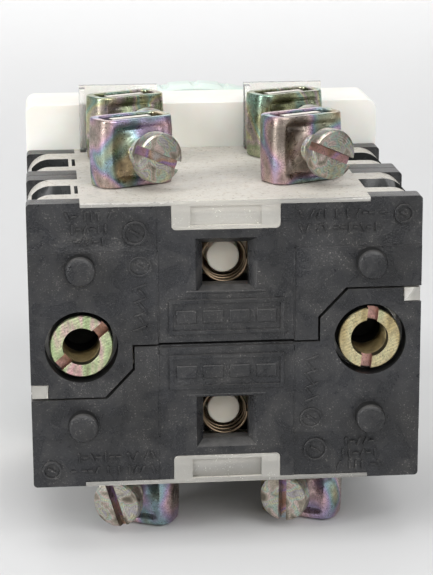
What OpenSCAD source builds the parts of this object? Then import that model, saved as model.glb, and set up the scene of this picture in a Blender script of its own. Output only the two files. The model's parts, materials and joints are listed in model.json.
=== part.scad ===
// Push-button operator with two layers of stacked contact blocks.
// Each layer is a pair of identical interlocking single-circuit blocks, one turned half a turn.
// Frame: +Y is the operator's axis towards its button, +Z up towards the upper terminals, and
// the origin is on that axis at the seat that the base makes for the panel.

/* [Contact block] */
// Width of a contact block
block_w = 44; // [42:0.5:50]
// Height of an interlocked pair of blocks
pair_h = 32.8; // [32:0.2:36]
// Depth of a block, from its cover's face to its base plate's back
block_d = 16.3; // [16.3:0.1:18]
// Thickness of the cover and of the base plate
plate_t = 2.7; // [2.5:0.1:2.8]
// Running gap along the seam between the two blocks
seam_gap = 0.24; // [0.1:0.02:0.4]
// Half width of the clear tab that shows in the cover
tab_half_w = 6.05; // [5.5:0.05:6.5]
// Height of the clear tab
tab_h = 3.25; // [2.5:0.05:3.5]
// Height of the plunger's axis above the middle of the pair
plunger_z = 9.0; // [8.8:0.1:9.4]

/* [Mounting] */
// Distance between the two mounting sleeves, and between the locating pins across
sleeve_pitch = 32.5; // [32:0.1:33]
// Distance between the locating pins up and down
pin_pitch = 18; // [17:0.5:19]
// Diameter of a locating pin
pin_d = 3.4; // [3:0.1:3.6]
// Height of a locating pin above the cover
pin_h = 1.8; // [1.2:0.1:2]
// Outside diameter of a mounting sleeve
sleeve_d = 7.1; // [6.8:0.1:7.2]
// Diameter of the sleeve's threaded hole
thread_hole_d = 4.1; // [3.4:0.1:4.3]

/* [Terminals] */
// Angle that the terminal screws are turned from the block's axis
screw_angle = 26; // [20:1:30]
// Outside width of a wire clamp
clamp_w = 9.5; // [8.8:0.1:9.5]
// Outside depth of a wire clamp
clamp_d = 4.8; // [4.8:0.1:5]
// Height of a wire clamp
clamp_h = 7.7; // [7:0.1:8]
// Thickness of the clamp's strip
clamp_t = 1; // [0.8:0.1:1]
// Diameter of a terminal screw's head
head_d = 5.7; // [5.2:0.1:5.8]
// Thickness of a terminal screw's head
head_t = 1.7; // [1.5:0.1:2]
// Thread diameter of a terminal screw
screw_d = 3.5; // [3:0.1:3.6]

/* [Operator] */
// Depth of the operator's square base
base_d = 10; // [9.5:0.5:12]
// Diameter of the threaded neck that passes through the panel
neck_d = 30; // [29:0.1:30.2]
// Diameter of the round bezel
bezel_d = 45; // [40:0.5:48]
// Thickness of the panel that the operator is set for
panel_t = 1.2; // [1:0.1:3]
// Travel of the button
travel = 3.8; // [3:0.1:3.8]

/* [Hidden] */
fine = 64;                                   // facets of a round shape
half_w = block_w/2;
half_h = pair_h/2;
seat = 2*block_d + base_d;                   // from the outer cover's face to the panel seat
sleeve_x = sleeve_pitch/2;
pin_z = pin_pitch/2;
g = seam_gap/2;

// The seam, from left to right as the cover is seen. It is the same after half a turn.
lobe_x = 10.45;                              // where the seam turns round a sleeve
lobe_flat_x = 13.6;
lobe_z = 6.0;
lobe_mid_z = 2.7;
seam = [[-half_w - 1, -lobe_z], [-lobe_flat_x, -lobe_z], [-lobe_x, -lobe_mid_z], [-lobe_x, 0],
        [lobe_x, 0], [lobe_x, lobe_mid_z], [lobe_flat_x, lobe_z], [half_w + 1, lobe_z]];
notch_w = 2.0;                               // notch at the end of the lobe
notch_h = 1.75;

// Window of the cover
window_w = 5.2;
window_h = 4.9;
bevel_w = 6.9;
bevel_h = 6.3;
bevel_t = 1.15;

// Clear housing
back_y = block_d - plate_t;                  // front of the base plate
deck_half_w = 16.1;                          // terminal deck between the shoulders
top_wall = 1.6;
lip_t = 0.5;                                 // deck's edge over the cover
shoulder_r = 2.8;
pocket_y0 = plate_t + 2.4;                   // pockets in the shoulders
pocket_y1 = back_y - 3.6;
barrier_top = 24.5;
barrier_y = block_d - 0.75;                  // front of the barrier wall
barrier_x = [-10.5, 10.0];

// Moving parts inside one block, measured from the cover's face
tail_y = 4.4;                                // plunger's tail end, seen in the window
body_y = 9.2;                                // front of the plunger's body
slot_y0 = 9.9;                               // slot for the bridge
slot_y1 = 12.6;
body_end = back_y - 0.1;
stem_r = 1.85;                               // plunger's round tail and nub
body_half = 3.2;
bridge_y = 10.0;
bridge_t = 0.7;
tip_r = 1.2;
tip_t = 0.6;
tip_x = 5.4;
contact_y = 6.25;                            // face of the fixed contacts
strip_y = 4.8;                               // front of the fixed contact strip
strip_t = 0.8;

// Terminals
terminal_x = [-9.9, 9.65];
terminal_y = 10.75;
clamp_z = half_h + 0.1;                      // underside of a clamp
screw_z = clamp_z + clamp_h/2;
head_reach = 6.9;                            // from the clamp's middle to the head's face
post_w = 5.0;                                // terminal post inside the clamp
post_t = 1.0;
post_top = clamp_z + clamp_h - 0.15;
post_y = -0.35;                              // front of the post, in the terminal's own frame
slot_w = 1.0;

// Operator
base_half = block_w/2;
wall = 2.0;
neck_len = 6.0;
neck_bore = 26;
neck_floor = 1.8;
bezel_t = 5.0;
gasket_t = 0.8;
bezel_y = gasket_t + panel_t;                // back of the bezel, from the panel seat
cap_r = 12.7;
cap_front = bezel_y + bezel_t + 3.0;
insert_end = -wall - 1.3;                    // end of the threaded inserts
pusher_y = -base_d + tail_y + 0.1;

outer = 0;
inner = 1;
upper = 0;
lower = 1;

BLOCKS = ["outer_upper", "outer_lower", "inner_upper", "inner_lower"];
NODES = ["outer_upper_cover", "outer_lower_cover", "inner_upper_cover", "inner_lower_cover",
         "outer_upper_housing", "outer_lower_housing", "inner_upper_housing", "inner_lower_housing",
         "outer_upper_base_plate", "outer_lower_base_plate", "inner_upper_base_plate",
         "inner_lower_base_plate",
         "outer_upper_plunger", "outer_lower_plunger", "inner_upper_plunger", "inner_lower_plunger",
         "outer_upper_return_spring", "outer_lower_return_spring", "inner_upper_return_spring",
         "inner_lower_return_spring",
         "outer_upper_bridge", "outer_lower_bridge", "inner_upper_bridge", "inner_lower_bridge",
         "outer_upper_contact_spring", "outer_lower_contact_spring", "inner_upper_contact_spring",
         "inner_lower_contact_spring",
         "outer_upper_fixed_contacts", "outer_lower_fixed_contacts", "inner_upper_fixed_contacts",
         "inner_lower_fixed_contacts",
         "outer_upper_left_clamp", "outer_upper_right_clamp", "outer_lower_left_clamp",
         "outer_lower_right_clamp", "inner_upper_left_clamp", "inner_upper_right_clamp",
         "inner_lower_left_clamp", "inner_lower_right_clamp",
         "outer_upper_left_screw", "outer_upper_right_screw", "outer_lower_left_screw",
         "outer_lower_right_screw", "inner_upper_left_screw", "inner_upper_right_screw",
         "inner_lower_left_screw", "inner_lower_right_screw",
         "outer_mounting_sleeves", "inner_mounting_sleeves",
         "operator_base", "base_inserts", "threaded_neck", "panel_gasket", "bezel_ring",
         "button_cap", "actuator", "button_spring"];
node = "all";

// ---- helpers ----

// Places a block, drawn as an upper block with its cover's face at y = 0
module place(layer, side) {
    translate([0, layer*block_d - seat, 0]) rotate([0, 180*side, 0]) children();
}

// Gives an outline drawn as x and z its depth, from y0 to y1
module slab(y0, y1) {
    translate([0, y1, 0]) rotate([90, 0, 0]) linear_extrude(y1 - y0) children();
}

// Round bar along Y
module bar(r, y0, y1) {
    translate([0, y1, 0]) rotate([90, 0, 0]) cylinder(h = y1 - y0, r = r, $fn = fine);
}

// Box from its low corner to its high corner
module box(lo, hi) {
    translate(lo) cube(hi - lo);
}

module rounded_rect(w, h, r) {
    difference() {
        square([w, h], center = true);
        for (sx = [-1, 1], sz = [-1, 1])
            translate([sx*(w/2 - r), sz*(h/2 - r)]) difference() {
                translate([sx*r/2 - 0.005*(1 - sx), sz*r/2 - 0.005*(1 - sz)])
                    square([r + 0.01, r + 0.01], center = true);
                circle(r = r, $fn = fine);
            }
    }
}

// Half of the pair's outline above the seam. grow moves the seam edge away from the block.
module block_outline(corner_r) {
    intersection() {
        rounded_rect(block_w, pair_h, corner_r);
        polygon(concat([for (p = seam) [p[0] - g, p[1] + g]],
                       [[half_w + 1, half_h + 1], [-half_w - 1, half_h + 1]]));
    }
}

// Four-sided bevel that narrows from the cover's face inwards, made of two crossed prisms
module bevel_pocket() {
    intersection() {
        translate([0, 0, -bevel_h/2]) linear_extrude(bevel_h)
            polygon([[-bevel_w/2, -0.01], [bevel_w/2, -0.01],
                     [window_w/2, bevel_t], [-window_w/2, bevel_t]]);
        translate([-bevel_w/2, 0, 0]) rotate([0, 90, 0]) rotate([0, 0, 90]) linear_extrude(bevel_w)
            polygon([[-0.01, -bevel_h/2], [bevel_t, -window_h/2],
                     [bevel_t, window_h/2], [-0.01, bevel_h/2]]);
    }
}

// Places a terminal: its own frame has the screw's head towards -y
module terminal(which) {
    translate([terminal_x[which], terminal_y, 0]) rotate([0, 0, screw_angle]) children();
}

// Coil spring along Y, from y0 to y1
function coil_point(r, w, n, turns, y0, y1, i, k, sides) =
    let (a = 360*turns*i/n, b = 360*k/sides, q = r + w/2*cos(b))
    [q*cos(a), y0 + w/2 + (y1 - y0 - w)*i/n + w/2*sin(b), q*sin(a)];

module coil(r, w, turns, y0, y1, per_turn = 12, sides = 6) {
    n = turns*per_turn;
    body = [for (i = [0:n-1], k = [0:sides-1], t = [0, 1])
            let (a = i*sides + k, b = i*sides + (k + 1) % sides, c = a + sides, d = b + sides)
            t == 0 ? [a, c, b] : [b, c, d]];
    first = [[for (k = [0:sides-1]) k]];
    last = [[for (k = [sides-1:-1:0]) n*sides + k]];
    polyhedron(points = [for (i = [0:n], k = [0:sides-1])
                         coil_point(r, w, n, turns, y0, y1, i, k, sides)],
               faces = concat(body, first, last));
}

// ---- contact block ----

module pin() {
    rotate([90, 0, 0]) rotate_extrude($fn = fine)
        polygon([[0, -0.5], [pin_d/2, -0.5], [pin_d/2, pin_h - 0.45], [pin_d/2 - 0.15, pin_h - 0.15],
                 [pin_d/2 - 0.5, pin_h], [0, pin_h]]);
}

plaque_w = 12.9;
plaque_h = 3.95;
plaque_z = 3.2;
panel_x = 7.65;                              // edge of the cover's middle panel
panel_z = 10.8;                              // foot of its corner panels
relief = 0.3;

module cover_plate() {
    difference() {
        union() {
            slab(0, plate_t) block_outline(0.45);
            for (sx = [-1, 1]) translate([sx*sleeve_x, 0, pin_z]) pin();
            translate([0, 0, plaque_z]) slab(-relief, 0.2) square([plaque_w, plaque_h], center = true);
            translate([7.0, 0, 0.75]) bar(0.4, -0.15, 0.1);
        }
        translate([0, 0, plaque_z])
            slab(-relief - 0.1, -0.1) square([plaque_w - 0.8, plaque_h - 0.8], center = true);
        // notch for the clear tab, with round inner corners
        slab(-0.1, plate_t + 0.1) translate([0, half_h - tab_h/2 + 0.5])
            rounded_rect(2*tab_half_w + 0.1, tab_h + 1.1, 0.6);
        // the terminal deck lies over the cover's edge
        box([-deck_half_w, -0.1, half_h - lip_t], [deck_half_w, plate_t + 0.1, half_h + 1]);
        // notch at the end of the lobe
        box([-half_w - 1, -0.1, -lobe_z - 0.1], [-half_w + notch_w, plate_t + 0.1, -lobe_z + notch_h]);
        // recess of the mounting sleeve
        translate([-sleeve_x, 0, 0]) bar(4.1, -0.1, plate_t + 0.1);
        // window over the plunger's tail
        translate([0, 0, plunger_z]) {
            bevel_pocket();
            box([-window_w/2, 0.5, -window_h/2], [window_w/2, plate_t + 0.1, window_h/2]);
        }
        // corner panels a little below the face
        for (sx = [-1, 1])
            box([sx > 0 ? panel_x : -half_w - 1, -0.1, panel_z],
                [sx > 0 ? half_w + 1 : -panel_x, 0.12, half_h + 1]);
        // fine groove down each side of the middle panel
        for (sx = [-1, 1]) box([sx*panel_x - 0.08, -0.1, g], [sx*panel_x + 0.08, 0.15, panel_z + 0.1]);
        // open groove along the middle of the seam
        box([-panel_x, -0.1, g - 0.1], [panel_x, 0.5, g + 0.18]);
    }
}

module base_plate() {
    difference() {
        slab(back_y, block_d) block_outline(0.45);
        // the terminal deck lies over the plate's edge
        box([-deck_half_w, back_y - 0.1, half_h - top_wall],
            [deck_half_w, block_d + 0.1, half_h + 1]);
        box([-half_w - 1, back_y - 0.1, -lobe_z - 0.1], [-half_w + notch_w, block_d + 0.1,
                                                         -lobe_z + notch_h]);
        translate([-sleeve_x, 0, 0]) bar(2.75, back_y - 0.1, block_d + 0.1);
        translate([0, 0, plunger_z]) bar(stem_r + 0.2, back_y - 0.1, block_d + 0.1);
        // room for the raised plaque and spot of the block behind
        translate([0, 0, plaque_z]) slab(block_d - relief - 0.15, block_d + 0.1)
            square([plaque_w + 0.6, plaque_h + 0.6], center = true);
        translate([7.0, 0, 0.75]) bar(0.7, block_d - 0.3, block_d + 0.1);
        for (sx = [-1, 1]) translate([sx*sleeve_x, 0, pin_z]) bar(pin_d/2 + 0.15, block_d - 2.1,
                                                                  block_d + 0.1);
    }
}

// Pockets open upwards in the two shoulders, and a small cell beside the left one
module shoulder_pockets() {
    floor_z = half_h - 4.2;
    end_x = half_w - 0.6;
    box([-end_x, pocket_y0, floor_z], [-16.95, pocket_y1, half_h + 1]);
    box([-16.55, pocket_y0 + 0.3, half_h - 2.5], [-16.15, pocket_y1 - 0.3, half_h + 1]);
    box([16.25, pocket_y0, floor_z], [end_x, pocket_y1, half_h + 1]);
}

module housing(with_barrier) {
    difference() {
        union() {
            slab(plate_t, back_y) block_outline(shoulder_r);
            // deck over the two plates' edges
            box([-deck_half_w, back_y - 0.2, half_h - top_wall], [deck_half_w, block_d, half_h]);
            box([-deck_half_w, 0, half_h - lip_t], [deck_half_w, plate_t + 0.2, half_h]);
            // tab that fills the notch in the cover
            slab(0, plate_t + 0.2) translate([0, half_h - tab_h/2])
                rounded_rect(2*tab_half_w, tab_h, 0.5);
            // lug that fills the notch at the lobe's end
            box([-half_w + 0.1, 0.15, -lobe_z + g], [-half_w + notch_w - 0.1, plate_t + 0.2,
                                                     -lobe_z + notch_h - 0.1]);
            if (with_barrier) barrier_walls();
        }
        // recessed field of the tab
        box([-3.95, -0.1, half_h - tab_h + 0.45], [3.95, 0.3, half_h - 0.6]);
        // main cavity, closed by the two plates
        box([-9.2, plate_t - 0.1, 1.3], [9.2, back_y + 0.1, half_h - top_wall - 0.05]);
        for (sx = [-1, 1])
            box([sx > 0 ? 8 : -13.3, plate_t + 0.8, sx > 0 ? 7.2 : 6.2],
                [sx > 0 ? 13.3 : -8, back_y + 0.1, half_h - top_wall - 0.05]);
        // bore round the mounting sleeve
        translate([-sleeve_x, 0, 0]) bar(sleeve_d/2 + 0.1, plate_t - 0.1, back_y + 0.1);
        shoulder_pockets();
        for (which = [0, 1]) terminal(which)
            box([-post_w/2 - 0.15, post_y - 0.15, half_h - top_wall - 1],
                [post_w/2 + 0.15, post_y + post_t + 0.15, half_h + 0.5]);
    }
}

// Thin upright wall behind each terminal, with its ends turned forwards
module barrier_walls() {
    for (which = [0, 1]) translate([barrier_x[which], 0, half_h - 0.5]) {
        box([-4.85, barrier_y, 0], [4.85, barrier_y + 0.7, barrier_top - half_h + 0.5]);
        box([-4.85, barrier_y - 1.4, 0], [-4.15, barrier_y + 0.1, barrier_top - half_h + 0.3]);
    }
}

module plunger() {
    difference() {
        translate([0, 0, plunger_z]) union() {
            bar(stem_r, tail_y, body_y + 0.1);
            box([-body_half, body_y, -body_half], [body_half, body_end, body_half]);
            bar(stem_r, body_end - 0.1, block_d + tail_y - 0.1);
        }
        // slot that the bridge crosses
        translate([0, 0, plunger_z])
            box([-body_half - 1, slot_y0, -2.3], [body_half + 1, slot_y1, 2.3]);
    }
}

module return_spring() {
    translate([0, 0, plunger_z]) coil(2.55, 0.45, 5, plate_t + 0.05, body_y - 0.05);
}

module bridge() {
    translate([0, 0, plunger_z]) {
        box([-7.2, bridge_y, -1.9], [7.2, bridge_y + bridge_t, 1.9]);
        for (sx = [-1, 1]) translate([sx*tip_x, 0, 0]) bar(tip_r, bridge_y - tip_t, bridge_y + 0.1);
    }
}

module contact_spring() {
    translate([0, 0, plunger_z]) coil(1.5, 0.35, 3, bridge_y + bridge_t + 0.03, slot_y1 - 0.03);
}

// One fixed contact strip: tip, plate, shelf and the post that stands in the clamp
module contact_strip(which) {
    side = which == 0 ? -1 : 1;
    shelf_z = half_h - top_wall - 1.3;
    translate([side*tip_x, 0, plunger_z]) bar(tip_r, strip_y + 0.1, contact_y);
    box([side > 0 ? 3.9 : -12.4, strip_y, plunger_z - 1.7],
        [side > 0 ? 12.4 : -3.9, strip_y + strip_t, plunger_z + 1.7]);
    box([side > 0 ? 7.4 : -12.4, strip_y, plunger_z - 1.7],
        [side > 0 ? 12.4 : -7.4, strip_y + strip_t, shelf_z + 0.9]);
    box([side > 0 ? 8.0 : -12.4, strip_y, shelf_z],
        [side > 0 ? 12.4 : -8.0, terminal_y + 2.5, shelf_z + 0.9]);
    terminal(which) box([-post_w/2, post_y, shelf_z + 0.1],
                        [post_w/2, post_y + post_t, post_top]);
}

// ---- terminals ----

module clamp() {
    difference() {
        union() {
            translate([0, 0, clamp_z]) linear_extrude(clamp_h) difference() {
                rounded_rect(clamp_w, clamp_d, 1.5);
                rounded_rect(clamp_w - 2*clamp_t, clamp_d - 2*clamp_t, 0.6);
            }
            // pressed-out thread boss
            translate([0, 0, screw_z]) rotate([90, 0, 0])
                translate([0, 0, clamp_d/2 - 0.2]) cylinder(h = 0.75, r = 2.7, $fn = fine);
        }
        translate([0, 0, screw_z]) rotate([90, 0, 0])
            translate([0, 0, 0.5]) cylinder(h = clamp_d, r = screw_d/2 + 0.05, $fn = fine);
    }
}

module terminal_screw(slot_angle) {
    translate([0, 0, screw_z]) rotate([90, 0, 0]) difference() {
        rotate_extrude($fn = fine)
            polygon([[0, -post_y + 0.05], [screw_d/2 - 0.4, -post_y + 0.05],
                     [screw_d/2, -post_y + 0.45], [screw_d/2, head_reach - head_t],
                     [head_d/2, head_reach - head_t], [head_d/2, head_reach - 0.3],
                     [head_d/2 - 0.3, head_reach], [0, head_reach]]);
        rotate([0, 0, slot_angle])
            box([-head_d, -slot_w/2, head_reach - 1.1], [head_d, slot_w/2, head_reach + 1]);
    }
}

// ---- mounting sleeves ----

module sleeve(slot_angle) {
    top = 0.35;
    difference() {
        union() {
            bar(sleeve_d/2, top, back_y - 0.05);
            bar(2.6, back_y - 0.1, block_d);
            bar(thread_hole_d/2 - 0.05, block_d - 0.1, block_d + top + 6);
        }
        bar(thread_hole_d/2, top - 0.1, top + 9);
        translate([0, top, 0]) rotate([0, -slot_angle, 0])
            box([-sleeve_d, -1, -0.55], [sleeve_d, 1.0, 0.55]);
    }
}

module mounting_sleeves(layer, angles) {
    for (side = [upper, lower]) place(layer, side)
        translate([-sleeve_x, 0, 0]) sleeve(angles[side]);
}

// ---- operator ----

module operator_base() {
    difference() {
        union() {
            difference() {
                slab(-base_d, 0) rounded_rect(2*base_half, 2*base_half, 1.2);
                box([-base_half + wall, -base_d - 0.1, -half_h + 1],
                    [base_half - wall, -wall, half_h - 1]);
            }
            for (sx = [-1, 1]) {
                translate([sx*sleeve_x, 0, 0]) bar(5, -base_d, -wall + 0.1);
                for (sz = [-1, 1]) translate([sx*sleeve_x, 0, sz*pin_z]) {
                    bar(3, -base_d, -wall + 0.1);
                    translate([0, -base_d, 0]) pin();
                }
            }
        }
        for (sx = [-1, 1]) translate([sx*sleeve_x, 0, 0]) bar(3.5, -base_d - 0.1, insert_end);
        bar(neck_d/2 + 0.1, -wall - 1, 1);
    }
}

module base_inserts() {
    for (sx = [-1, 1]) translate([sx*sleeve_x, 0, 0]) difference() {
        bar(3.47, -base_d, insert_end - 0.05);
        bar(thread_hole_d/2, -base_d - 0.1, 0);
    }
}

module threaded_neck() {
    difference() {
        union() {
            bar(neck_d/2, -wall - 0.1, neck_len);
            intersection() {
                bar(neck_d/2 + 2.5, -wall - 1.3, -wall - 0.05);
                box([-10.8, -wall - 2, -half_h + 1.3], [10.8, 0, half_h - 1.3]);
            }
        }
        bar(neck_bore/2, -wall - 1.4 + neck_floor, neck_len + 0.1);
        bar(4.1, -wall - 2, neck_len);
    }
}

module panel_gasket() {
    difference() {
        bar(20, 0, gasket_t);
        bar(neck_d/2 + 0.1, -0.1, gasket_t + 0.1);
    }
}

module bezel_ring() {
    difference() {
        rotate([-90, 0, 0]) rotate_extrude($fn = 96)
            polygon([[neck_d/2 + 0.03, bezel_y], [bezel_d/2 - 0.6, bezel_y],
                     [bezel_d/2, bezel_y + 0.6], [bezel_d/2, bezel_y + bezel_t - 1.6],
                     [bezel_d/2 - 1.6, bezel_y + bezel_t], [13.3, bezel_y + bezel_t],
                     [13.3, neck_len + 0.1], [neck_d/2 + 0.03, neck_len + 0.1]]);
        // grip flutes round the edge
        for (i = [0:35]) rotate([0, 10*i, 0]) translate([bezel_d/2 + 0.35, 0, 0])
            bar(0.7, bezel_y - 1, bezel_y + bezel_t - 1.4);
    }
}

module button_cap() {
    skirt_y = 0.35 + travel - 0.2;
    rotate([-90, 0, 0]) rotate_extrude($fn = 96)
        polygon([[0, cap_front - 2.2], [cap_r - 1.4, cap_front - 2.2], [cap_r - 1.4, skirt_y],
                 [cap_r, skirt_y], [cap_r, cap_front - 0.8], [cap_r - 0.8, cap_front], [0, cap_front]]);
}

module actuator() {
    bar(4.0, pusher_y + 1.9, cap_front - 2.25);
    box([-3.6, pusher_y, -plunger_z - 2.6], [3.6, pusher_y + 2.0, plunger_z + 2.6]);
}

module button_spring() {
    coil(6.2, 0.8, 4, -1.2, cap_front - 2.4, 14, 6);
}

// ---- nodes ----

module black() { color([0.13, 0.13, 0.14]) children(); }
module clear() { color([0.78, 0.76, 0.70, 0.6]) children(); }
module nylon() { color([0.93, 0.91, 0.86]) children(); }
module plated() { color([0.72, 0.62, 0.52]) children(); }
module steel() { color([0.62, 0.60, 0.58]) children(); }
module copper() { color([0.80, 0.50, 0.30]) children(); }
module ivory() { color([0.88, 0.86, 0.80]) children(); }
module pale_green() { color([0.80, 0.88, 0.83]) children(); }

// Draws its child when that node, or all of them, is asked for
function wanted(name) = node == "all" || node == name;

slot_angles = [[[-24, -24], [-91, -71]], [[-35, 15], [-60, -20]]];
sleeve_angles = [[40, 83], [20, -30]];

for (layer = [outer, inner], side = [upper, lower]) {
    name = BLOCKS[2*layer + side];
    if (wanted(str(name, "_cover"))) black() place(layer, side) cover_plate();
    if (wanted(str(name, "_housing"))) clear() place(layer, side) housing(layer == inner);
    if (wanted(str(name, "_base_plate"))) black() place(layer, side) base_plate();
    if (wanted(str(name, "_plunger"))) nylon() place(layer, side) plunger();
    if (wanted(str(name, "_return_spring"))) steel() place(layer, side) return_spring();
    if (wanted(str(name, "_bridge"))) copper() place(layer, side) bridge();
    if (wanted(str(name, "_contact_spring"))) steel() place(layer, side) contact_spring();
    if (wanted(str(name, "_fixed_contacts"))) copper() place(layer, side) {
        contact_strip(0);
        contact_strip(1);
    }
    // seen from the cover's side, a lower block's first terminal is on the right
    for (which = [0, 1]) {
        hand = (which == side) ? "_left" : "_right";
        if (wanted(str(name, hand, "_clamp"))) plated() place(layer, side) terminal(which) clamp();
        if (wanted(str(name, hand, "_screw"))) plated() place(layer, side) terminal(which)
            terminal_screw(slot_angles[layer][side][which]);
    }
}

if (wanted("outer_mounting_sleeves")) plated() mounting_sleeves(outer, sleeve_angles[0]);
if (wanted("inner_mounting_sleeves")) plated() mounting_sleeves(inner, sleeve_angles[1]);
if (wanted("operator_base")) ivory() operator_base();
if (wanted("base_inserts")) color("goldenrod") base_inserts();
if (wanted("threaded_neck")) steel() threaded_neck();
if (wanted("panel_gasket")) color([0.16, 0.16, 0.17]) panel_gasket();
if (wanted("bezel_ring")) pale_green() bezel_ring();
if (wanted("button_cap")) pale_green() button_cap();
if (wanted("actuator")) nylon() actuator();
if (wanted("button_spring")) steel() button_spring();
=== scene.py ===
"""Push-button operator with two layers of stacked contact blocks, seen from its wiring side."""

from math import exp, pi, radians, tau
from random import Random

import bmesh
import bpy
from mathutils import Matrix, Vector
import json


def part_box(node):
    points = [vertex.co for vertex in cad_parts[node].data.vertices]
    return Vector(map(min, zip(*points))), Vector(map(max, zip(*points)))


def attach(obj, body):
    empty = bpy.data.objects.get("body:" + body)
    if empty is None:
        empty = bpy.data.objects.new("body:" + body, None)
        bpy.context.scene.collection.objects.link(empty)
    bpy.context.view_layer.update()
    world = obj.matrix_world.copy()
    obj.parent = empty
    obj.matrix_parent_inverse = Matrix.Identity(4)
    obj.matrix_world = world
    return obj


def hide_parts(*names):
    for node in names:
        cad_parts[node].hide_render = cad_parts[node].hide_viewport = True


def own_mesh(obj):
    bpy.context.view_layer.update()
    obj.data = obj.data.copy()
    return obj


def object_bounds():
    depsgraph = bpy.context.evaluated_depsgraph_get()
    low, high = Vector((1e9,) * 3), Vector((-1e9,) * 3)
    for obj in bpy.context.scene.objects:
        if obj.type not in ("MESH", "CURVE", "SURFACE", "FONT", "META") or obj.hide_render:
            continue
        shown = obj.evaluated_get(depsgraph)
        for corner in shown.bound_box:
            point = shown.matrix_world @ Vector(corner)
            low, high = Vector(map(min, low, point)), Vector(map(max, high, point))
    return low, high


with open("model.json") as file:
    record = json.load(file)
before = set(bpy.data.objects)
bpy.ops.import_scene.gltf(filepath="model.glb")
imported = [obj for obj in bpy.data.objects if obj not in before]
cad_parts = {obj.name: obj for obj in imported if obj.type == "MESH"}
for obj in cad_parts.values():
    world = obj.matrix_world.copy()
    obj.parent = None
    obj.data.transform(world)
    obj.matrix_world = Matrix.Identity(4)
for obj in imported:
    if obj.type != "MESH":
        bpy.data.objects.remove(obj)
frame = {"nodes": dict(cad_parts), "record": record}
cad_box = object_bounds()
behaviour = frame["record"]["behaviour"]

MM = 0.001
LAYERS = ("outer", "inner")
SIDES = ("upper", "lower")
HANDS = ("left", "right")
BLOCKS = [f"{layer}_{side}" for layer in LAYERS for side in SIDES]
JOINTS = {joint["name"]: joint for joint in behaviour["joints"]}
BODY_OF = {node: body for body, nodes in behaviour["bodies"].items() for node in nodes}


# ---- sizes, in millimetres, as in the frame ----

PIN_HEIGHT, PIN_PITCH, PIN_REACH = 1.8, 18.0, 1.75
SLEEVE_PITCH, RECESS_REACH = 32.5, 4.15
POCKET_START, POCKET_END = 5.1, 10.0
POCKET_INNER, POCKET_OUTER, POCKET_FLOOR, BLOCK_HEIGHT = 16.0, 21.4, 12.2, 16.2
DECK_TOP = 16.8
CLAMP_WIDTH, CLAMP_DEPTH, CLAMP_HEIGHT, CLAMP_WALL = 9.5, 4.8, 7.7, 1.0
HEAD_RADIUS, HEAD_FACE, HEAD_THICK = 2.85, 6.9, 1.7
SHANK_RADIUS, SHANK_END, SHANK_PITCH = 1.75, 0.3, 0.6
SLEEVE_TOP, SLEEVE_RADIUS, SLEEVE_BORE, SLEEVE_THREAD = 0.35, 3.55, 2.05, 0.75

# how far each screw's and each sleeve's slot is turned, in degrees
SLOT_ANGLES = {"outer_upper_left": -24, "outer_upper_right": -24,
               "outer_lower_left": -71, "outer_lower_right": -91,
               "inner_upper_left": -35, "inner_upper_right": 15,
               "inner_lower_left": -20, "inner_lower_right": -60}
SLEEVE_ANGLES = {"outer_upper": 40, "outer_lower": 83, "inner_upper": 20, "inner_lower": -30}


# ---- materials ----

def finish(name, **sockets):
    """A new material and its main shader, with the constants set on the shader's own sockets."""
    material = bpy.data.materials.new(name)
    material.use_nodes = True
    shader = material.node_tree.nodes["Principled BSDF"]
    for socket, value in sockets.items():
        shader.inputs[socket.replace("_", " ")].default_value = value
    return material, shader


def add_node(material, kind, **settings):
    node = material.node_tree.nodes.new(kind)
    for key, value in settings.items():
        setattr(node, key, value)
    return node


def join(material, out, into):
    material.node_tree.links.new(out, into)


def object_point(material):
    """The point on the piece, in millimetres."""
    where = add_node(material, "ShaderNodeTexCoord")
    scaled = add_node(material, "ShaderNodeMapping")
    scaled.inputs["Scale"].default_value = (1000, 1000, 1000)
    join(material, where.outputs["Object"], scaled.inputs["Vector"])
    return scaled.outputs["Vector"]


def cloud(material, point, size, detail=3.0, distortion=0.0, rough=0.55):
    """Soft noise whose blots are about size millimetres across."""
    noise = add_node(material, "ShaderNodeTexNoise")
    noise.inputs["Scale"].default_value = 1/size
    noise.inputs["Detail"].default_value = detail
    noise.inputs["Roughness"].default_value = rough
    noise.inputs["Distortion"].default_value = distortion
    join(material, point, noise.inputs["Vector"])
    return noise.outputs["Fac"]


def ramp(material, value, *stops):
    """Colours along value. Each stop is (place, colour)."""
    node = add_node(material, "ShaderNodeValToRGB")
    elements = node.color_ramp.elements
    while len(elements) < len(stops):
        elements.new(0.5)
    for element, (place, colour) in zip(elements, stops):
        element.position = place
        element.color = (*colour, 1.0)
    join(material, value, node.inputs["Fac"])
    return node.outputs["Color"]


def grey(level):
    return (level, level, level)


def maths(material, operation, first, second):
    node = add_node(material, "ShaderNodeMath", operation=operation)
    for socket, value in zip(node.inputs, (first, second)):
        if isinstance(value, (int, float)):
            socket.default_value = value
        else:
            join(material, value, socket)
    return node.outputs["Value"]


def blend_colours(material, share, first, second):
    """first where share is 0 and second where it is 1. Each is a colour or a node's output."""
    node = add_node(material, "ShaderNodeMix", data_type="RGBA")
    join(material, share, node.inputs["Factor"])
    colour_inputs = node.inputs[6], node.inputs[7]
    for socket, value in zip(colour_inputs, (first, second)):
        if isinstance(value, tuple):
            socket.default_value = (*value, 1.0)
        else:
            join(material, value, socket)
    return node.outputs[2]


def add_bump(material, shader, height, strength, distance):
    """Raises the surface by height. distance is in millimetres."""
    bump = add_node(material, "ShaderNodeBump")
    bump.inputs["Strength"].default_value = strength
    bump.inputs["Distance"].default_value = distance*MM
    join(material, height, bump.inputs["Height"])
    join(material, bump.outputs["Normal"], shader.inputs["Normal"])


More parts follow.
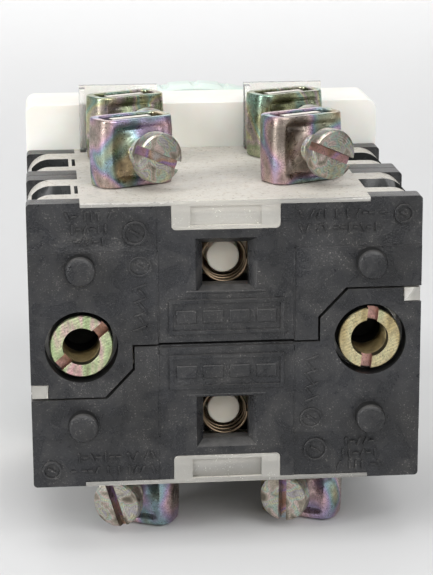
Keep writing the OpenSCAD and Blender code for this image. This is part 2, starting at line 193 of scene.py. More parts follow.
def facing_up(material):
    """1 where the surface faces the sky, 0 where it is upright or faces down."""
    geometry = add_node(material, "ShaderNodeNewGeometry")
    parts = add_node(material, "ShaderNodeSeparateXYZ")
    join(material, geometry.outputs["Normal"], parts.inputs["Vector"])
    return ramp(material, parts.outputs["Z"], (0.15, grey(0)), (0.75, grey(1)))


def dust_share(material, point, amount, on_top):
    """How much dust lies at a point: fine specks, soft blots, and more on what faces up."""
    specks = ramp(material, cloud(material, point, 0.16, 2.0), (0.62, grey(0)), (0.72, grey(1)))
    blots = ramp(material, cloud(material, point, 3.2, 5.0, 0.6), (0.42, grey(0.1)), (0.70, grey(1)))
    lying = maths(material, "MULTIPLY", specks, blots)
    thin = maths(material, "MULTIPLY", blots, 0.12)
    everywhere = maths(material, "MULTIPLY", maths(material, "ADD", lying, thin), amount)
    film = ramp(material, cloud(material, point, 1.1, 6.0, 0.3), (0.30, grey(0.45)), (0.65, grey(1)))
    top = maths(material, "MULTIPLY", maths(material, "MULTIPLY", facing_up(material), film), on_top)
    share = maths(material, "MAXIMUM", everywhere, top)
    return maths(material, "MINIMUM", share, 1.0)


def dusty_black():
    """The black moulding: faint waves, fine grain, and dust that dulls its gloss."""
    material, shader = finish("dusty_black_moulding", Specular_IOR_Level=0.5)
    point = object_point(material)
    base = ramp(material, cloud(material, point, 5.0, 5.0), (0.35, (0.005, 0.0055, 0.007)),
                (0.70, (0.015, 0.016, 0.019)))
    dust = dust_share(material, point, 0.55, 0.15)
    join(material, blend_colours(material, dust, base, (0.38, 0.36, 0.33)), shader.inputs["Base Color"])
    rough = ramp(material, dust, (0.0, grey(0.26)), (0.4, grey(0.75)))
    join(material, rough, shader.inputs["Roughness"])
    grain = cloud(material, point, 0.24, 5.0, 0.6)
    waves = cloud(material, point, 2.4, 2.0)
    add_bump(material, shader, maths(material, "ADD", grain, waves), 0.85, 0.10)
    return material


def dusty_clear(name, clearness, on_top, tint):
    """A clear moulding under dust and crumbs. clearness is how much light goes through it."""
    material, shader = finish(name, IOR=1.49, Specular_IOR_Level=0.5)
    point = object_point(material)
    dust = dust_share(material, point, 0.35, on_top)
    crumbs = ramp(material, cloud(material, point, 0.36, 3.0), (0.585, grey(0)), (0.65, grey(1)))
    lying = maths(material, "MULTIPLY", crumbs, facing_up(material))
    soil = blend_colours(material, lying, (0.62, 0.58, 0.51), (0.26, 0.20, 0.14))
    join(material, blend_colours(material, dust, tint, soil), shader.inputs["Base Color"])
    join(material, ramp(material, dust, (0.0, grey(0.10)), (0.6, grey(0.62))), shader.inputs["Roughness"])
    join(material, ramp(material, dust, (0.0, grey(clearness)), (0.8, grey(0.12))),
         shader.inputs["Transmission Weight"])
    add_bump(material, shader, cloud(material, point, 0.8, 5.0), 0.18, 0.08)
    return material


def moulded(name, light, dark, rough, soften=0.0):
    """A plain opaque moulding whose colour drifts a little between light and dark."""
    material, shader = finish(name, Specular_IOR_Level=0.45, Subsurface_Weight=soften,
                              Subsurface_Scale=0.002)
    point = object_point(material)
    share = ramp(material, cloud(material, point, 9.0, 5.0, 0.4), (0.35, grey(0)), (0.70, grey(1)))
    join(material, blend_colours(material, share, light, dark), shader.inputs["Base Color"])
    speck = cloud(material, point, 1.6, 6.0)
    join(material, ramp(material, speck, (0.3, grey(rough - 0.08)), (0.7, grey(rough + 0.1))),
         shader.inputs["Roughness"])
    add_bump(material, shader, cloud(material, point, 0.35, 3.0), 0.10, 0.04)
    return material


RAINBOW = ((0.26, (0.15, 0.12, 0.10)), (0.38, (0.40, 0.34, 0.29)), (0.45, (0.60, 0.46, 0.42)),
           (0.50, (0.68, 0.46, 0.52)), (0.545, (0.46, 0.38, 0.58)), (0.585, (0.30, 0.44, 0.50)),
           (0.63, (0.40, 0.50, 0.38)), (0.70, (0.64, 0.50, 0.30)), (0.80, (0.34, 0.29, 0.25)))
OLIVE = ((0.26, (0.16, 0.17, 0.09)), (0.39, (0.40, 0.42, 0.24)), (0.47, (0.30, 0.48, 0.40)),
         (0.53, (0.58, 0.56, 0.32)), (0.58, (0.50, 0.40, 0.42)), (0.66, (0.28, 0.34, 0.20)),
         (0.76, (0.52, 0.50, 0.38)))
STEELY = ((0.28, (0.16, 0.14, 0.11)), (0.40, (0.42, 0.38, 0.31)), (0.46, (0.64, 0.50, 0.46)),
          (0.51, (0.40, 0.54, 0.48)), (0.56, (0.60, 0.57, 0.38)), (0.62, (0.44, 0.42, 0.48)),
          (0.72, (0.58, 0.54, 0.44)))
SLOTTED = ((0.34, (0.32, 0.18, 0.13)), (0.45, (0.50, 0.28, 0.28)), (0.54, (0.32, 0.22, 0.44)),
           (0.62, (0.54, 0.34, 0.22)), (0.72, (0.36, 0.50, 0.60)))
GOLDEN = ((0.28, (0.34, 0.26, 0.12)), (0.42, (0.66, 0.54, 0.28)), (0.52, (0.78, 0.70, 0.42)),
          (0.60, (0.60, 0.62, 0.36)), (0.70, (0.66, 0.46, 0.36)), (0.82, (0.44, 0.54, 0.36)))
BROWNED = ((0.35, (0.42, 0.24, 0.17)), (0.50, (0.58, 0.34, 0.30)), (0.65, (0.40, 0.22, 0.15)))
BLUSH = ((0.30, (0.40, 0.36, 0.22)), (0.42, (0.60, 0.76, 0.40)), (0.48, (0.78, 0.84, 0.52)),
         (0.54, (0.92, 0.70, 0.62)), (0.60, (0.90, 0.52, 0.54)), (0.70, (0.80, 0.62, 0.52)))


def along_lines(material, scale):
    """The turned map, in millimetres, turned so that its x runs across the straight tool lines."""
    face = add_node(material, "ShaderNodeUVMap", uv_map="turned")
    turned = add_node(material, "ShaderNodeMapping")
    turned.inputs["Rotation"].default_value = (0, 0, radians(65))
    turned.inputs["Scale"].default_value = scale
    join(material, face.outputs["UV"], turned.inputs["Vector"])
    return turned.outputs["Vector"]


def tool_marks(material, pattern):
    """Fine marks left by a cutter, as a wave across the face: turned rings or straight lines."""
    if pattern == "rings":
        face = add_node(material, "ShaderNodeUVMap", uv_map="turned")
        length = add_node(material, "ShaderNodeVectorMath", operation="LENGTH")
        join(material, face.outputs["UV"], length.inputs[0])
        across, pitch = length.outputs["Value"], 0.27
    else:
        parts = add_node(material, "ShaderNodeSeparateXYZ")
        join(material, along_lines(material, (1.0, 1.0, 1.0)), parts.inputs["Vector"])
        across, pitch = parts.outputs["X"], 0.34
    return maths(material, "SINE", maths(material, "MULTIPLY", across, tau/pitch), 0.0)


def plated(name, colours, blot, rough, pattern=None):
    """Passivated plating: its colours run into each other in bands under pits and grime."""
    material, shader = finish(name, Metallic=1.0)
    point = object_point(material)
    drift = cloud(material, point, blot, 1.0, 0.6)
    if pattern == "lines":
        drift = cloud(material, along_lines(material, (0.55, 0.12, 1.0)), 1.0, 2.0, 0.2)
    film = ramp(material, drift, *colours)
    grime = ramp(material, cloud(material, point, 1.0, 6.0, 0.5), (0.46, grey(0)), (0.74, grey(0.75)))
    pits = ramp(material, cloud(material, point, 0.17, 3.0), (0.50, grey(0)), (0.66, grey(0.62)))
    soil = maths(material, "MAXIMUM", grime, pits)
    scratches = cloud(material, point, 0.25, 5.0, 0.4)
    if pattern is not None:
        wave = tool_marks(material, pattern)
        soil = maths(material, "MAXIMUM", soil, maths(material, "MULTIPLY", wave, 0.32))
        scratches = maths(material, "ADD", scratches, maths(material, "MULTIPLY", wave, 0.5))
    join(material, blend_colours(material, soil, film, (0.12, 0.10, 0.085)), shader.inputs["Base Color"])
    join(material, ramp(material, grime, (0.0, grey(rough)), (0.6, grey(rough + 0.25))),
         shader.inputs["Roughness"])
    add_bump(material, shader, scratches, 0.38, 0.05)
    return material


def bare_metal(name, light, dark, rough):
    """Unplated metal that drifts between light and dark."""
    material, shader = finish(name, Metallic=1.0, Roughness=rough)
    point = object_point(material)
    share = ramp(material, cloud(material, point, 1.5, 5.0), (0.3, grey(0)), (0.7, grey(1)))
    join(material, blend_colours(material, share, light, dark), shader.inputs["Base Color"])
    return material


def floor_cloth():
    """The matt white of the sheet that the object stands on."""
    material, shader = finish("pale_floor", Roughness=0.9)
    shader.inputs["Base Color"].default_value = (0.66, 0.66, 0.66, 1.0)
    return material


BLACK = dusty_black()
# painted shade: near-black for the walls of the covers' sleeve recesses and the sides of their pins
PAINTED_SHADE_BLACK = moulded("painted_recess_shade", (0.004, 0.004, 0.004), (0.006, 0.006, 0.006), 0.6)
CLEAR = dusty_clear("dusty_clear_moulding", 0.66, 0.85, (0.88, 0.86, 0.80))
GLASSY = dusty_clear("glassy_moulding", 0.95, 0.12, (0.98, 0.98, 0.97))
# painted shade: near-black for the pocket walls of the clear housings, where the pockets look dark
PAINTED_POCKET_SHADE = moulded("painted_pocket_shade", (0.020, 0.022, 0.022), (0.036, 0.038, 0.037), 0.25)
IVORY = moulded("ivory_moulding", (0.87, 0.86, 0.81), (0.80, 0.78, 0.71), 0.42, 0.15)
PALE_GREEN = moulded("pale_green_moulding", (0.62, 0.71, 0.66), (0.56, 0.65, 0.60), 0.40, 0.1)
NYLON = moulded("white_nylon", (0.77, 0.72, 0.62), (0.66, 0.58, 0.46), 0.45, 0.1)
GASKET = moulded("gasket_rubber", (0.020, 0.020, 0.021), (0.035, 0.034, 0.033), 0.7)
CLAMP_PLATING = plated("clamp_plating", RAINBOW, 7.0, 0.27)
REAR_PLATING = plated("rear_clamp_plating", OLIVE, 5.5, 0.25)
SLOT_PLATING = plated("slot_plating", SLOTTED, 3.5, 0.30)
SCREW_PLATING = plated("screw_plating", STEELY, 1.7, 0.30, "rings")
SLEEVE_PLATING = plated("sleeve_plating", GOLDEN, 4.5, 0.30, "lines")
BROWN_PLATING = plated("brown_slot_plating", BROWNED, 2.5, 0.35)
BLUSH_PLATING = plated("blush_sleeve_plating", BLUSH, 4.0, 0.30, "lines")
COPPER = bare_metal("contact_copper", (0.86, 0.62, 0.40), (0.70, 0.45, 0.28), 0.30)
SPRING_STEEL = bare_metal("spring_steel", (0.26, 0.19, 0.125), (0.12, 0.09, 0.06), 0.35)
# painted light: a bright, lit copy of the thread's metal for the mouth of the sleeve's hole; deeper in,
# the hole takes the painted shade below
LIT_BORE_METAL = bare_metal("lit_bore_thread", (0.80, 0.72, 0.52), (0.40, 0.35, 0.25), 0.30)
# painted shade: near-black metal for the sleeve's outer wall inside the recess and for the far end of its
# hole
SHADED_METAL = bare_metal("painted_shade_wall", (0.05, 0.05, 0.045), (0.03, 0.03, 0.03), 0.6)
POST_METAL = bare_metal("post_metal", (0.88, 0.84, 0.76), (0.68, 0.62, 0.54), 0.30)


# ---- shaping ----

def settle(shape):
    """Welds a shape and turns its faces outwards."""
    bmesh.ops.remove_doubles(shape, verts=shape.verts, dist=0.0005)
    bmesh.ops.recalc_face_normals(shape, faces=shape.faces)


def make_piece(name, shape, body, material, place=None, smooth_below=35.0, others=()):
    """Puts a shape drawn in millimetres in its place in the frame and hands it to its body.
    others lists (material, test) pairs: the faces that pass a test take its material."""
    for index, (_, test) in enumerate(others, 1):
        for face in shape.faces:
            if test(face):
                face.material_index = index
    matrix = Matrix.Scale(MM, 4)
    if place is not None:
        matrix = place @ matrix
    bmesh.ops.transform(shape, matrix=matrix, verts=shape.verts)
    mesh = bpy.data.meshes.new(name)
    shape.to_mesh(mesh)
    shape.free()
    for polygon in mesh.polygons:
        polygon.use_smooth = True
    mesh.set_sharp_from_angle(angle=radians(smooth_below))
    piece = bpy.data.objects.new(name, mesh)
    bpy.context.scene.collection.objects.link(piece)
    mesh.materials.append(material)
    for other, _ in others:
        mesh.materials.append(other)
    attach(piece, body)
    return piece


def soft_edges(piece, width, segments=2, angle=32.0):
    """Breaks the edges that are sharper than angle. width is in millimetres."""
    edge = piece.modifiers.new("edge", "BEVEL")
    edge.width = width*MM
    edge.segments = segments
    edge.limit_method = "ANGLE"
    edge.angle_limit = radians(angle)
    edge.use_clamp_overlap = True


def soften_node(node, width, material, segments=2, others=(), merge=True):
    """A copy of a CAD node with its edges broken, which stands for it. merge joins its flat faces."""
    shape = bmesh.new()
    shape.from_mesh(frame["nodes"][node].data)
    bmesh.ops.scale(shape, vec=(1000, 1000, 1000), verts=shape.verts)
    bmesh.ops.remove_doubles(shape, verts=shape.verts, dist=0.001)
    if merge:
        bmesh.ops.dissolve_limit(shape, angle_limit=radians(0.4), verts=shape.verts, edges=shape.edges)
    piece = make_piece(f"{node}_moulding", shape, BODY_OF[node], material, others=others)
    soft_edges(piece, width, segments)
    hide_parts(node)
    return piece


def turned_shape(profile, steps=64):
    """A round shape about the y axis. Its profile is a list of (radius, y)."""
    shape = bmesh.new()
    points = [shape.verts.new((radius, y, 0)) for radius, y in profile]
    lines = [shape.edges.new(pair) for pair in zip(points, points[1:])]
    bmesh.ops.spin(shape, geom=points + lines, cent=(0, 0, 0), axis=(0, 1, 0), angle=tau,
                   steps=steps, use_merge=True)
    settle(shape)
    return shape


def block_shape(size, centre):
    """A square-cornered block, to cut with or to be a raised mark."""
    shape = bmesh.new()
    bmesh.ops.create_cube(shape, size=1.0)
    bmesh.ops.scale(shape, vec=size, verts=shape.verts)
    bmesh.ops.translate(shape, vec=centre, verts=shape.verts)
    return shape


def carve(shape, tool):
    """Takes one shape away from another."""
    objects = []
    for name, source in (("stock", shape), ("tool", tool)):
        mesh = bpy.data.meshes.new(name)
        source.to_mesh(mesh)
        source.free()
        one = bpy.data.objects.new(name, mesh)
        bpy.context.scene.collection.objects.link(one)
        objects.append(one)
    stock, cutter = objects
    cut = stock.modifiers.new("cut", "BOOLEAN")
    cut.operation = "DIFFERENCE"
    cut.solver = "EXACT"
    cut.object = cutter
    cut_mesh = stock.evaluated_get(bpy.context.evaluated_depsgraph_get()).to_mesh()
    result = bmesh.new()
    result.from_mesh(cut_mesh)
    for one in objects:
        mesh = one.data
        bpy.data.objects.remove(one)
        bpy.data.meshes.remove(mesh)
    return result


def mark_face(shape):
    """Lays the turned pattern's own map on a shape: its x and z, in millimetres."""
    layer = shape.loops.layers.uv.new("turned")
    for face in shape.faces:
        for corner in face.loops:
            corner[layer].uv = (corner.vert.co.x, corner.vert.co.z)


def thread_profile(radius, depth, pitch, start, end):
    """Points down a thread's flanks from start to end."""
    turns = int(abs(end - start)/pitch)
    step = pitch if end > start else -pitch
    points = []
    for turn in range(turns):
        points.append((radius, start + step*turn))
        points.append((radius - depth, start + step*(turn + 0.5)))
    return points


def coil_shape(radius, wire, turns, start, end, taper=1.0, steps_per_turn=28, sides=10):
    """A helical spring along y, drawn by a ring that is turned and advanced. taper is its far
    end's share of its width."""
    shape = bmesh.new()
    ring = bmesh.ops.create_circle(shape, cap_ends=False, segments=sides, radius=wire/2)
    bmesh.ops.translate(shape, vec=(radius, start + wire/2, 0), verts=shape.verts)
    steps = int(turns*steps_per_turn)
    advance = (end - start - wire)/steps
    bmesh.ops.spin(shape, geom=shape.verts[:] + shape.edges[:], cent=(0, 0, 0), axis=(0, 1, 0),
                   dvec=(0, advance, 0), angle=tau*turns, steps=steps, use_merge=False)
    bmesh.ops.holes_fill(shape, edges=shape.edges, sides=sides)
    for point in shape.verts:
        share = 1 + (taper - 1)*(point.co.y - start)/(end - start)
        point.co.x *= share
        point.co.z *= share
    settle(shape)
    return shape


def block_place(block):
    """The placement of a block drawn as an upper one with its cover's face at y = 0."""
    face_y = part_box(f"{block}_cover")[0][1] + PIN_HEIGHT*MM
    turn = Matrix.Rotation(pi if block.endswith("lower") else 0.0, 4, "Y")
    return Matrix.Translation((0, face_y, 0)) @ turn


def terminal_place(terminal):
    """A terminal's own frame: its screw's head towards -y, z away from the block."""
    joint = JOINTS[f"{terminal}_screw_turn"]
    centre = Vector(joint["pos_m"])
    y_axis = -Vector(joint["axis"])
    z_axis = Vector((0, 0, 1 if centre.z > 0 else -1))
    x_axis = y_axis.cross(z_axis)
    matrix = Matrix((x_axis, y_axis, z_axis)).transposed().to_4x4()
    matrix.translation = centre
    return matrix


# ---- pieces ----

def strip_shape():
    """A strip bent to a flat ring, in fine rows along z, so that its front can be pressed."""
    rows, columns, bend = 36, 28, 1.6
    shape = bmesh.new()
    bmesh.ops.create_grid(shape, x_segments=1, y_segments=1, size=1.0)
    bmesh.ops.scale(shape, vec=(CLAMP_WIDTH/2, CLAMP_DEPTH/2, 1), verts=shape.verts)
    bmesh.ops.bevel(shape, geom=shape.verts[:], offset=bend, segments=8, profile=0.5, material=-1,
                    affect="VERTICES")
    bmesh.ops.delete(shape, geom=shape.faces[:], context="FACES_ONLY")
    straight = [edge for edge in shape.edges if edge.calc_length() > 1.2]
    bmesh.ops.subdivide_edges(shape, edges=straight, cuts=columns)
    bmesh.ops.translate(shape, vec=(0, 0, -CLAMP_HEIGHT/2), verts=shape.verts)
    edges = shape.edges[:]
    for _ in range(rows):
        grown = bmesh.ops.extrude_edge_only(shape, edges=edges)["geom"]
        points = [item for item in grown if isinstance(item, bmesh.types.BMVert)]
        edges = [item for item in grown if isinstance(item, bmesh.types.BMEdge)]
        bmesh.ops.translate(shape, vec=(0, 0, CLAMP_HEIGHT/rows), verts=points)
    settle(shape)
    bmesh.ops.solidify(shape, geom=shape.faces[:], thickness=CLAMP_WALL)
    return shape


def clamp_strip(terminal):
    """The bent strip of a wire clamp. Its front is pressed in, and out again round the screw."""
    boss_rise, dish_depth, crease_depth = 0.50, 0.42, 0.36
    dish_half_width, dish_half_height = 3.3, 2.75
    shape = strip_shape()
    for point in shape.verts:
        x, y, z = point.co
        on_front = exp(-((y + CLAMP_DEPTH/2)/0.4)**2)
        inside = exp(-(x/dish_half_width)**10)
        boss = boss_rise*exp(-((x*x + z*z)/4.4)**2)
        dish = dish_depth*inside*exp(-(z/dish_half_height)**12)
        creases = exp(-((z - dish_half_height)/0.28)**2) + exp(-((z + dish_half_height)/0.28)**2)
        point.co.y -= on_front*(boss - dish - crease_depth*inside*creases)
        point.co.x *= 1 - 0.035*(z/(CLAMP_HEIGHT/2))**2
    settle(shape)
    plating = CLAMP_PLATING if terminal.startswith("outer") else REAR_PLATING
    piece = make_piece(f"{terminal}_clamp_strip", shape, f"{terminal}_clamp", plating,
                       terminal_place(terminal), 60.0)
    soft_edges(piece, 0.16, 3, 50.0)
    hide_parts(f"{terminal}_clamp")


def cut_slot(shape, length, width, deep, face_y, angle):
    """Cuts a screwdriver slot across a turned shape's face and lays the turned map on the shape."""
    slot = block_shape((length, 2*deep, width), (0, face_y, 0))
    turn = Matrix.Rotation(-radians(angle), 3, "Y")
    bmesh.ops.rotate(slot, matrix=turn, cent=(0, 0, 0), verts=slot.verts)
    shape = carve(shape, slot)
    mark_face(shape)
    return shape


def slotted_screw(terminal):
    """A terminal screw: a slotted cheese head on a threaded shank."""
    seat = -HEAD_FACE + HEAD_THICK
    shank = thread_profile(SHANK_RADIUS, 0.28, SHANK_PITCH, SHANK_END, seat + 0.3)
    head = [(SHANK_RADIUS - 0.2, seat + 0.2), (SHANK_RADIUS, seat), (HEAD_RADIUS - 0.12, seat),
            (HEAD_RADIUS, seat - 0.12), (HEAD_RADIUS, -HEAD_FACE + 0.34),
            (HEAD_RADIUS - 0.08, -HEAD_FACE + 0.14), (HEAD_RADIUS - 0.26, -HEAD_FACE + 0.03),
            (HEAD_RADIUS - 0.45, -HEAD_FACE), (0, -HEAD_FACE)]
    shape = turned_shape([(0, SHANK_END + 0.1), (SHANK_RADIUS - 0.5, SHANK_END + 0.1)] + shank + head)
    shape = cut_slot(shape, 2*HEAD_RADIUS + 1, 0.95, 1.1, -HEAD_FACE, SLOT_ANGLES[terminal])

    def in_slot(face):
        x, y, z = face.calc_center_median()
        return -HEAD_FACE + 0.40 < y < -HEAD_FACE + 1.2 and x*x + z*z < (HEAD_RADIUS - 0.1)**2

    piece = make_piece(f"{terminal}_slotted_screw", shape, f"{terminal}_screw",
                       SCREW_PLATING, terminal_place(terminal), others=[(SLOT_PLATING, in_slot)])
    soft_edges(piece, 0.07, 2, 50.0)
    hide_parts(f"{terminal}_screw")


def threaded_sleeve(block):
    """A mounting sleeve: slotted head, threaded hole, and the threaded stud at its far end."""
    top, radius, bore = SLEEVE_TOP, SLEEVE_RADIUS, SLEEVE_BORE
    bore_end, shoulder, back, stud_end = 9.35, 13.55, 16.3, 22.65
    neck_radius, stud_radius = 2.6, 2.0
    hole = thread_profile(bore + 0.2, 0.2, SLEEVE_THREAD, bore_end - 0.2, top + 0.35)
    body = [(bore + 0.08, top), (radius - 0.12, top), (radius, top + 0.12), (radius, shoulder),
            (neck_radius, shoulder), (neck_radius, back), (stud_radius, back)]
    stud = thread_profile(stud_radius, 0.25, SLEEVE_THREAD, back + 0.1, stud_end - 0.3)
    shape = turned_shape([(0, bore_end)] + hole + body + stud + [(1.5, stud_end), (0, stud_end)])
    shape = cut_slot(shape, 2*radius + 1, 1.2, 1.0, top, SLEEVE_ANGLES[block])
    bore_reach, rim_reach = (bore + 0.3)**2, (radius - 0.1)**2
    # the hole is painted as lit down to lit_depth and as shaded beyond it
    lit_depth = top + 5.5

    def in_bore(face):
        x, y, z = face.calc_center_median()
        return top + 0.3 < y < lit_depth and x*x + z*z < bore_reach

    def in_slot(face):
        x, y, z = face.calc_center_median()
        return top + 0.3 < y < top + 1.1 and bore_reach < x*x + z*z < rim_reach

    # painted shade: the sleeve's outer wall inside the cover's recess, and the hole beyond lit_depth
    def in_shade(face):
        x, y, z = face.calc_center_median()
        reach = x*x + z*z
        return (y > top + 0.5 and reach > rim_reach) or (
            lit_depth <= y < bore_end + 0.1 and reach < bore_reach)

    plating = BLUSH_PLATING if block.endswith("upper") else SLEEVE_PLATING
    place = block_place(block) @ Matrix.Translation((-SLEEVE_PITCH/2*MM, 0, 0))
    piece = make_piece(f"{block}_threaded_sleeve", shape, "stack", plating, place,
                       others=[(LIT_BORE_METAL, in_bore), (BROWN_PLATING, in_slot), (SHADED_METAL, in_shade)])
    soft_edges(piece, 0.07, 2, 50.0)
    layer = block.split("_")[0]
    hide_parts(f"{layer}_mounting_sleeves")


def spring_piece(node, radius, wire, turns, centre_z, taper=1.0):
    """A helical spring in the place of its CAD node, carried by its node's body."""
    low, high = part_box(node)
    length = (high[1] - low[1])/MM
    shape = coil_shape(radius, wire, turns, 0.0, length, taper)
    place = Matrix.Translation((0, low[1], centre_z))
    piece = make_piece(f"{node}_coil", shape, BODY_OF[node], SPRING_STEEL, place, 70.0)
    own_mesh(piece)
    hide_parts(node)


def raised_bar(x, z, length, height, rise, turn=0.0):
    """A low pad on a cover's face."""
    shape = block_shape((length, rise + 0.2, height), (0, 0.1 - rise/2, 0))
    bmesh.ops.rotate(shape, matrix=Matrix.Rotation(turn, 3, "Y"), cent=(0, 0, 0), verts=shape.verts)
    bmesh.ops.translate(shape, vec=(x, 0, z), verts=shape.verts)
    return shape


def raised_ring(x, z, radius, width, rise, squeeze=1.0):
    """A low round or oval border on a cover's face."""
    shape = turned_shape([(radius, 0.2), (radius, -rise), (radius - width, -rise), (radius - width, 0.2),
                          (radius, 0.2)], 40)
    bmesh.ops.scale(shape, vec=(1, 1, squeeze), verts=shape.verts)
    bmesh.ops.translate(shape, vec=(x, 0, z), verts=shape.verts)
    return shape


def gather(shapes):
    """Joins several shapes into one."""
    whole = bmesh.new()
    for shape in shapes:
        mesh = bpy.data.meshes.new("gathered")
        shape.to_mesh(mesh)
        shape.free()
        whole.from_mesh(mesh)
        bpy.data.meshes.remove(mesh)
    return whole


def row_of_strokes(draw, start, end, z, height, rise):
    """A row of separate plain strokes from start to end: uprights, slants and dashes, never joined."""
    strokes = []
    x = start
    while x < end - 0.5:
        width, tall, lean = draw.choice(((0.2, height, 0.0), (0.2, height, 0.45), (0.2, height, -0.45),
                                         (0.6, 0.2, 0.0)))
        strokes.append(raised_bar(x, z, width, tall, rise, lean))
        x += 0.62 + draw.choice((0.12, 0.12, 0.6))
    return strokes


def cover_marks(block):
    """Plain raised strokes and rings where a block carries its markings."""
    draw = Random(7)
    rise = 0.2
    shapes = []
    for z, start, end in ((14.9, -17.5, -11.6), (13.5, -17.0, -12.0), (12.1, -16.6, -12.2),
                          (14.6, 8.4, 18.2), (13.0, 8.4, 17.6)):
        shapes += row_of_strokes(draw, start, end, z, 1.0, rise)
    for x, z, radius, squeeze in ((-10.1, 12.9, 1.35, 1.0), (-9.6, 9.1, 1.3, 0.9), (19.9, 14.4, 1.1, 1.0)):
        shapes.append(raised_ring(x, z, radius, 0.24, rise, squeeze))
        shapes.append(raised_bar(x, z, radius*0.9, 0.24, rise, 0.5))
    for index in range(7):
        shapes.append(raised_bar(-9.7 + 0.35*(index % 2), 2.0 + 0.8*index, 1.7 - 0.2*(index % 3), 0.2,
                                 rise, 0.9 if index % 2 else -0.35))
    # raised borders of the middle panel and of the corner panels
    for x in (-7.65, 7.65):
        shapes.append(raised_bar(x, 5.9, 0.16, 9.6, 0.06))
    piece = make_piece(f"{block}_cover_marks", gather(shapes), "stack", BLACK,
                       block_place(block))
    soft_edges(piece, 0.03, 1)


def plaque_pads(block):
    """Plain raised pads in the frame of the cover's plaque."""
    shapes = [raised_bar(-4.5 + 3.0*index, 3.2, 2.3, 1.5, 0.26) for index in range(4)]
    shapes.append(raised_bar(0, 6.0, 9.0, 0.35, 0.08))
    piece = make_piece(f"{block}_plaque_pads", gather(shapes), "stack", BLACK,
                       block_place(block))
    soft_edges(piece, 0.10, 2)


def in_shadow(face):
    """The upright walls of a cover's sleeve recess and of its pins, which take a near-black painted shade.
    """
    x, y, z = face.calc_center_median()
    across = abs(x) - SLEEVE_PITCH/2
    in_recess = across**2 + z*z < RECESS_REACH**2
    on_pin = across**2 + (abs(z) - PIN_PITCH/2)**2 < PIN_REACH**2
    return abs(face.normal.y) < 0.3 and (in_recess or on_pin)


def pocket_walls(block):
    """A test for the walls of the pockets in a housing's shoulders, which take a near-black painted shade.
    """
    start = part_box(f"{block}_housing")[0][1]/MM

    def test(face):
        x, y, z = face.calc_center_median()
        square_on = max(abs(part) for part in face.normal) > 0.9995
        across = POCKET_INNER - 0.1 < abs(x) < POCKET_OUTER + 0.05
        along = POCKET_START - 0.05 < y - start < POCKET_END + 0.05
        return square_on and across and along and POCKET_FLOOR - 0.1 < abs(z) < BLOCK_HEIGHT + 0.1

    return test


def above_deck(face):
    """The upright walls behind the terminals, above the deck."""
    return abs(face.calc_center_median().z) > DECK_TOP


def contact_stack():
    """The four contact blocks, and the sleeves that hold them to the base."""
    for block in BLOCKS:
        # the covers' recess walls and pin sides take the near-black painted shade
        soften_node(f"{block}_cover", 0.13, BLACK, others=[(PAINTED_SHADE_BLACK, in_shadow)])
        soften_node(f"{block}_base_plate", 0.16, BLACK)
        # the housings' pocket walls take the near-black painted shade
        soften_node(f"{block}_housing", 0.14, CLEAR, merge=False,
                    others=[(GLASSY, above_deck), (PAINTED_POCKET_SHADE, pocket_walls(block))])
        soften_node(f"{block}_plunger", 0.14, NYLON)
        soften_node(f"{block}_bridge", 0.08, COPPER)
        soften_node(f"{block}_fixed_contacts", 0.08, POST_METAL)
        centre_z = sum(corner[2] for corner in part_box(f"{block}_plunger"))/2
        spring_piece(f"{block}_return_spring", radius=2.60, wire=0.34, turns=6,
                     centre_z=centre_z,
                     taper=0.84)
        spring_piece(f"{block}_contact_spring", radius=1.5, wire=0.35, turns=3,
                     centre_z=centre_z)
        if block.startswith("outer"):
            cover_marks(block)
            plaque_pads(block)
        for hand in HANDS:
            clamp_strip(f"{block}_{hand}")
            slotted_screw(f"{block}_{hand}")
    for block in BLOCKS:
        threaded_sleeve(block)


def operator():
    """The push-button that the blocks hang from."""
    soften_node("operator_base", 0.5, IVORY, segments=4)
    soften_node("threaded_neck", 0.2, BLACK)
    soften_node("panel_gasket", 0.2, GASKET)
    soften_node("bezel_ring", 0.12, PALE_GREEN)
    soften_node("button_cap", 0.2, PALE_GREEN)
    soften_node("actuator", 0.3, NYLON)
    spring_piece("button_spring", radius=6.2, wire=0.8, turns=4,
                 centre_z=0.0)
    insert_materials = frame["nodes"]["base_inserts"].data.materials
    insert_materials.clear()
    insert_materials.append(SLEEVE_PLATING)


# ---- scene ----

def set_floor():
    """A pale sheet that lies flat under the object and rises behind it."""
    half_width, half_depth, rise, sweep = 2.0, 0.8, 1.6, 0.35
    shape = bmesh.new()
    bmesh.ops.create_grid(shape, x_segments=1, y_segments=1, size=1.0)
    bmesh.ops.scale(shape, vec=(half_width, half_depth, 1.0), verts=shape.verts)
    back = [edge for edge in shape.edges if all(point.co.y > half_depth - 0.1 for point in edge.verts)]
    grown = bmesh.ops.extrude_edge_only(shape, edges=back)["geom"]
    raised = [item for item in grown if isinstance(item, bmesh.types.BMVert)]
    bmesh.ops.translate(shape, vec=(0, 0, rise), verts=raised)
    bmesh.ops.bevel(shape, geom=back, offset=sweep, segments=16, profile=0.5, material=-1,
                    affect="EDGES")
    bmesh.ops.translate(shape, vec=(0, 0, cad_box[0][2]), verts=shape.verts)
    mesh = bpy.data.meshes.new("floor")
    shape.to_mesh(mesh)
    shape.free()
    for polygon in mesh.polygons:
        polygon.use_smooth = True
    floor = bpy.data.objects.new("floor", mesh)
    bpy.context.scene.collection.objects.link(floor)
    mesh.materials.append(floor_cloth())


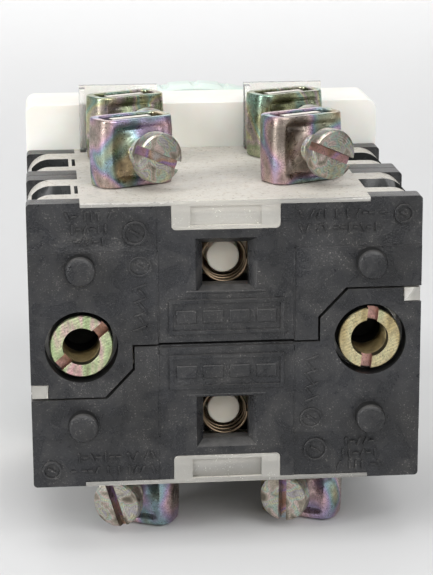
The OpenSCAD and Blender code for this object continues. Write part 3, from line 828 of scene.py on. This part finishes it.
def soft_light(name, place, target, size, power):
    """A rectangular lamp at place that faces target."""
    lamp = bpy.data.lights.new(name, "AREA")
    lamp.shape = "RECTANGLE"
    lamp.size, lamp.size_y = size
    lamp.energy = power
    light = bpy.data.objects.new(name, lamp)
    light.location = place
    light.rotation_euler = (Vector(target) - Vector(place)).to_track_quat("-Z", "Y").to_euler()
    bpy.context.scene.collection.objects.link(light)


def set_lights():
    """A room that is bright overhead and dim at eye level, with soft boxes above, in front, on the
    left and over the backdrop."""
    world = bpy.data.worlds.new("studio")
    bpy.context.scene.world = world
    world.use_nodes = True
    background = world.node_tree.nodes["Background"]
    where = add_node(world, "ShaderNodeTexCoord")
    parts = add_node(world, "ShaderNodeSeparateXYZ")
    join(world, where.outputs["Generated"], parts.inputs["Vector"])
    sky = ramp(world, parts.outputs["Z"], (0.0, (0.14, 0.14, 0.15)), (0.20, (0.22, 0.22, 0.23)),
               (0.50, (0.95, 0.96, 0.98)), (1.0, (1.0, 1.0, 1.0)))
    join(world, sky, background.inputs["Color"])
    background.inputs["Strength"].default_value = 0.42
    soft_light("overhead", (-0.05, -0.08, 0.50), (0, -0.03, 0), (0.45, 0.30), 0.85)
    soft_light("front", (0.24, -0.60, 0.40), (0, -0.03, 0), (0.60, 0.40), 3.4)
    soft_light("left_side", (-0.45, -0.25, 0.20), (0, -0.03, 0), (0.16, 0.35), 2.1)
    soft_light("backdrop_wash", (0.0, 0.45, 0.60), (0, 0.90, 0.30), (0.9, 0.3), 5.2)
    bpy.context.scene.view_settings.view_transform = "Standard"


def set_camera():
    """The camera stands a little left of the wiring side and looks down at it."""
    place = (-0.0197, -0.2599, 0.0627)
    yaw, pitch, roll = radians(4.89), radians(14.45), radians(0.33)
    lens = bpy.data.cameras.new("camera")
    lens.lens = 168.2
    lens.sensor_width = 36.0
    lens.sensor_fit = "HORIZONTAL"
    lens.clip_start = 0.01
    camera = bpy.data.objects.new("camera", lens)
    camera.matrix_world = (Matrix.Translation(place) @ Matrix.Rotation(-yaw, 4, "Z")
                           @ Matrix.Rotation(pi/2 - pitch, 4, "X") @ Matrix.Rotation(-roll, 4, "Z"))
    bpy.context.scene.collection.objects.link(camera)
    bpy.context.scene.camera = camera


contact_stack()
operator()
set_floor()
set_lights()
set_camera()
